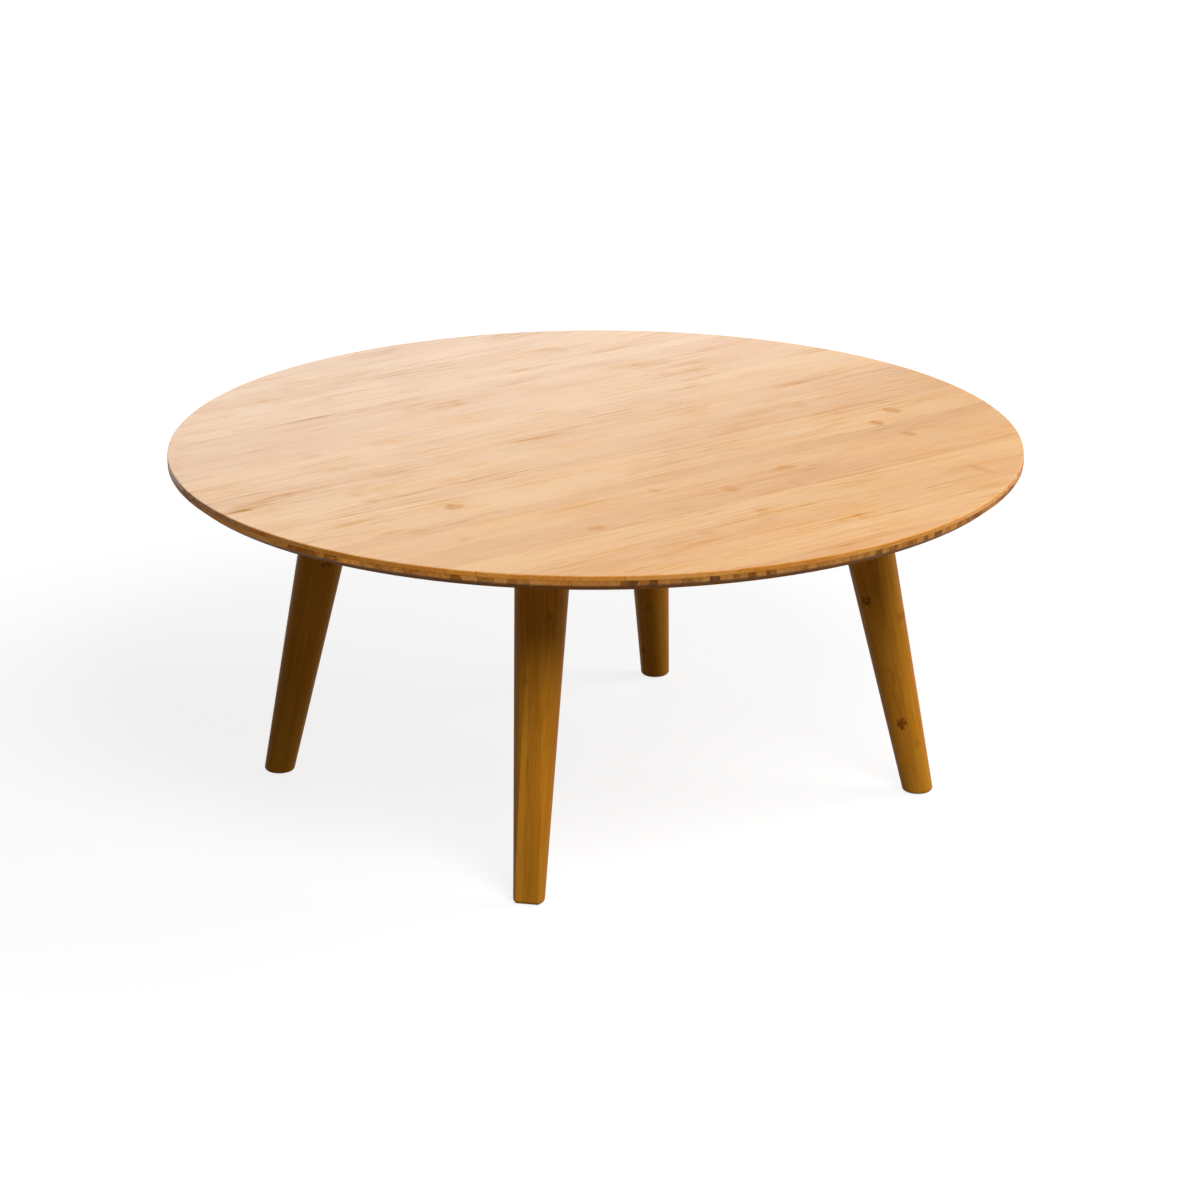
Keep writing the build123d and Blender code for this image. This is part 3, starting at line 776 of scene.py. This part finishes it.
class TABLE_OT_finish_legs(bpy.types.Operator):
    """Gives each leg glued-up strips that follow its own centre line"""

    bl_idname = "bamboo_table.finish_legs"
    bl_label = "Finish Legs"

    def execute(self, context):
        s = context.scene.bamboo_settings
        for index, corner in enumerate(CORNERS):
            foot, up, outward = centre_line(corner)
            planed = corner in ("front_left", "back_right")
            # the flat is planed across the strips of its leg; the other two blanks were turned the other way
            across = up.cross(outward).normalized() if planed else outward
            first_seam = -0.46 * s.leg_strip
            placed = [(x, y - first_seam / MM, *rest) for x, y, *rest in LEG_KNUCKLES[corner]]
            coat_node(f"leg_{corner}", bamboo(
                f"leg bamboo {corner}", (foot + across * first_seam, up, across), tuple(s.leg_light),
                tuple(s.leg_dark), s.leg_strip, 2.5 * s.leg_strip, seed=20.0 + 3 * index, contrast=1.1,
                knuckle_length=9 * MM, scattered=0.45, placed=placed, knuckle=tuple(s.leg_knuckle),
                roughness=0.45, specular=0.05,
            ))
        return {"FINISHED"}


class TABLE_OT_finish_hardware(bpy.types.Operator):
    """Gives the brackets, bolts, rivets and screws their steel, and the washers their nylon"""

    bl_idname = "bamboo_table.finish_hardware"
    bl_label = "Finish Hardware"

    def execute(self, context):
        zinc = steel_finish("zinc plate", (0.66, 0.67, 0.68), 0.34)
        bright = steel_finish("bright zinc", (0.60, 0.60, 0.60), 0.26)
        for name in ("mounting_plate", "hinge_yoke"):
            coat_corners(name, zinc)
        for name in ("pivot_bolt", "pivot_nut", "spring_rivet", "plate_screws"):
            coat_corners(name, bright)
        coat_corners("pivot_washers", nylon("natural nylon"))
        return {"FINISHED"}


class TABLE_OT_finish_pads(bpy.types.Operator):
    """Gives the foot pads their felt"""

    bl_idname = "bamboo_table.finish_pads"
    bl_label = "Finish Foot Pads"

    def execute(self, context):
        coat_corners("foot_pad", felt("brown felt"))
        return {"FINISHED"}


# The lamps' places from the middle of the top in metres: to the camera's right, away from it, and up.
KEY_PLACE = (0.66, -1.82, 1.74)
SIDE_PLACE = (1.59, 0.28, 0.68)
WINDOW_PLACE = (-0.80, 0.82, 0.34)
BACK_PLACE = (-0.35, 2.05, 0.12)
BACK_AIM_DROP = 0.15  # the back softbox aims this far below the top
WINDOW_SLOPE = math.radians(20)
SENSOR_WIDTH = 36.0  # millimetres

# The floor's own light near the table, what it gains further off, and how far off that starts and ends.
FLOOR_GLOW = 0.82
BACKDROP_GLOW = 0.18
SHADOW_REACH = 0.45
BACKDROP_START = 1.9


def area_lamp(name, power, size, place, aim):
    """A white rectangular softbox at a place, turned to face an aim."""
    lamp = bpy.data.lights.new(name, "AREA")
    lamp.shape = "RECTANGLE"
    lamp.size, lamp.size_y = size
    lamp.energy = power
    softbox = bpy.data.objects.new(name, lamp)
    softbox.location = place
    softbox.rotation_euler = (aim - place).to_track_quat("-Z", "Y").to_euler()
    softbox.visible_camera = False
    bpy.context.scene.collection.objects.link(softbox)
    return softbox


class TABLE_OT_set_stage(bpy.types.Operator):
    """Sets the floor, the soft lamps, the white surroundings and the camera"""

    bl_idname = "bamboo_table.set_stage"
    bl_label = "Set Stage"

    def execute(self, context):
        studio = context.scene.studio_settings
        self.lay_floor()
        self.surround(studio.ambient)
        right, forward = self.place_camera(studio)
        aim = Vector((0, 0, TOP_HEIGHT))
        up = Vector((0, 0, 1))
        key_place, side_place, window_place, back_place = (
            aim + right * sideways + forward * away + up * height
            for sideways, away, height in (KEY_PLACE, SIDE_PLACE, WINDOW_PLACE, BACK_PLACE)
        )
        area_lamp("key softbox", studio.key, (1.2, 1.2), key_place, aim)
        side = area_lamp("side softbox", studio.side, (1.2, 1.2), side_place, aim)
        side.visible_glossy = False
        back = area_lamp("back softbox", studio.back, (1.6, 0.8), back_place, aim - up * BACK_AIM_DROP)
        back.visible_glossy = False
        window = area_lamp("window", studio.window, (2.4, 0.37), window_place, window_place - forward)
        # it slopes down to the right, so that the near right of the top stays clear of its reflection
        window.rotation_euler.rotate_axis("Z", WINDOW_SLOPE)
        window.visible_diffuse = False
        context.scene.view_settings.view_transform = "Standard"
        return {"FINISHED"}

    def lay_floor(self):
        bpy.ops.object.select_all(action="DESELECT")
        bpy.ops.mesh.primitive_plane_add(size=30.0, location=(0, 0, 0))
        floor = bpy.context.object
        floor.name = "studio_floor"
        w = Wiring("pale floor")
        x, y, _ = w.split(w.add("ShaderNodeTexCoord").outputs["Object"])
        far = w.math("SQRT", w.math("MULTIPLY_ADD", x, x, w.math("MULTIPLY", y, y)))
        # the floor turns into a white backdrop at a distance, and keeps its shadow near the table
        glow = w.total((w.fade(far, BACKDROP_START, SHADOW_REACH), BACKDROP_GLOW), (1.0, FLOOR_GLOW))
        diffuse = w.add("ShaderNodeBsdfDiffuse", {"Color": (0.25, 0.25, 0.25, 1.0)}).outputs[0]
        white = w.add("ShaderNodeEmission", {"Color": (1, 1, 1, 1), "Strength": glow}).outputs[0]
        lit = w.add("ShaderNodeAddShader", {0: diffuse, 1: white}).outputs[0]
        seen = w.add("ShaderNodeLightPath")
        seen = w.math("MAXIMUM", seen.outputs["Is Camera Ray"], seen.outputs["Is Glossy Ray"])
        shader = w.add("ShaderNodeMixShader", {0: seen, 1: diffuse, 2: lit}).outputs[0]
        w.add("ShaderNodeOutputMaterial", {0: shader})
        floor.data.materials.append(w.material)

    def surround(self, ambient):
        world = bpy.data.worlds.new("white surroundings")
        bpy.context.scene.world = world
        world.use_nodes = True
        nodes, links = world.node_tree.nodes, world.node_tree.links
        nodes.clear()
        path = nodes.new("ShaderNodeLightPath")
        seen = path.outputs["Is Camera Ray"]
        for name in ("Is Glossy Ray", "Is Transmission Ray"):
            either = nodes.new("ShaderNodeMath")
            either.operation = "MAXIMUM"
            links.new(seen, either.inputs[0])
            links.new(path.outputs[name], either.inputs[1])
            seen = either.outputs[0]
        strength = nodes.new("ShaderNodeMapRange")
        strength.inputs["To Min"].default_value = ambient
        strength.inputs["To Max"].default_value = 1.0
        links.new(seen, strength.inputs["Value"])
        background = nodes.new("ShaderNodeBackground")
        background.inputs["Color"].default_value = (1, 1, 1, 1)
        links.new(strength.outputs[0], background.inputs["Strength"])
        output = nodes.new("ShaderNodeOutputWorld")
        links.new(background.outputs[0], output.inputs[0])

    def place_camera(self, studio):
        a, e = studio.azimuth, studio.elevation
        right = Vector((math.cos(a), math.sin(a), 0))
        forward = Vector((-math.sin(a) * math.cos(e), math.cos(a) * math.cos(e), -math.sin(e)))
        up = right.cross(forward)
        aim = Vector((0, 0, TOP_HEIGHT)) + right * studio.aim_right - up * studio.aim_drop
        lens = bpy.data.cameras.new("camera")
        lens.lens = studio.lens
        lens.sensor_width = SENSOR_WIDTH
        camera = bpy.data.objects.new("camera", lens)
        turn = Matrix((right, up, -forward)).transposed() @ Matrix.Rotation(studio.roll, 3, "Z")
        camera.matrix_world = Matrix.Translation(aim - forward * studio.distance) @ turn.to_4x4()
        bpy.context.scene.collection.objects.link(camera)
        bpy.context.scene.camera = camera
        return right, Vector((forward.x, forward.y, 0)).normalized()


class TABLE_PT_sidebar(bpy.types.Panel):
    """Lists the table's operators in the 3D view's sidebar"""

    bl_idname = "TABLE_PT_sidebar"
    bl_label = "Bamboo Table"
    bl_space_type = "VIEW_3D"
    bl_region_type = "UI"
    bl_category = "Bamboo Table"

    def draw(self, context):
        for operator in OPERATORS:
            self.layout.operator(operator.bl_idname)
        scene = context.scene
        for settings in (scene.bamboo_settings, scene.latch_settings, scene.studio_settings):
            box = self.layout.box()
            for name in settings.bl_rna.properties.keys():
                if name not in ("rna_type", "name"):
                    box.prop(settings, name)


OPERATORS = (
    TABLE_OT_bend_springs,
    TABLE_OT_finish_face,
    TABLE_OT_finish_core,
    TABLE_OT_finish_back,
    TABLE_OT_finish_legs,
    TABLE_OT_finish_hardware,
    TABLE_OT_finish_pads,
    TABLE_OT_set_stage,
)
CLASSES = (BambooSettings, LatchSettings, StudioSettings, *OPERATORS, TABLE_PT_sidebar)


def register():
    for cls in CLASSES:
        bpy.utils.register_class(cls)
    bpy.types.Scene.bamboo_settings = bpy.props.PointerProperty(type=BambooSettings)
    bpy.types.Scene.latch_settings = bpy.props.PointerProperty(type=LatchSettings)
    bpy.types.Scene.studio_settings = bpy.props.PointerProperty(type=StudioSettings)


def unregister():
    del bpy.types.Scene.studio_settings
    del bpy.types.Scene.latch_settings
    del bpy.types.Scene.bamboo_settings
    for cls in reversed(CLASSES):
        bpy.utils.unregister_class(cls)


def main():
    register()
    bpy.ops.bamboo_table.bend_springs()
    bpy.ops.bamboo_table.finish_face()
    bpy.ops.bamboo_table.finish_core()
    bpy.ops.bamboo_table.finish_back()
    bpy.ops.bamboo_table.finish_legs()
    bpy.ops.bamboo_table.finish_hardware()
    bpy.ops.bamboo_table.finish_pads()
    bpy.ops.bamboo_table.set_stage()


if __name__ == "__main__":
    main()
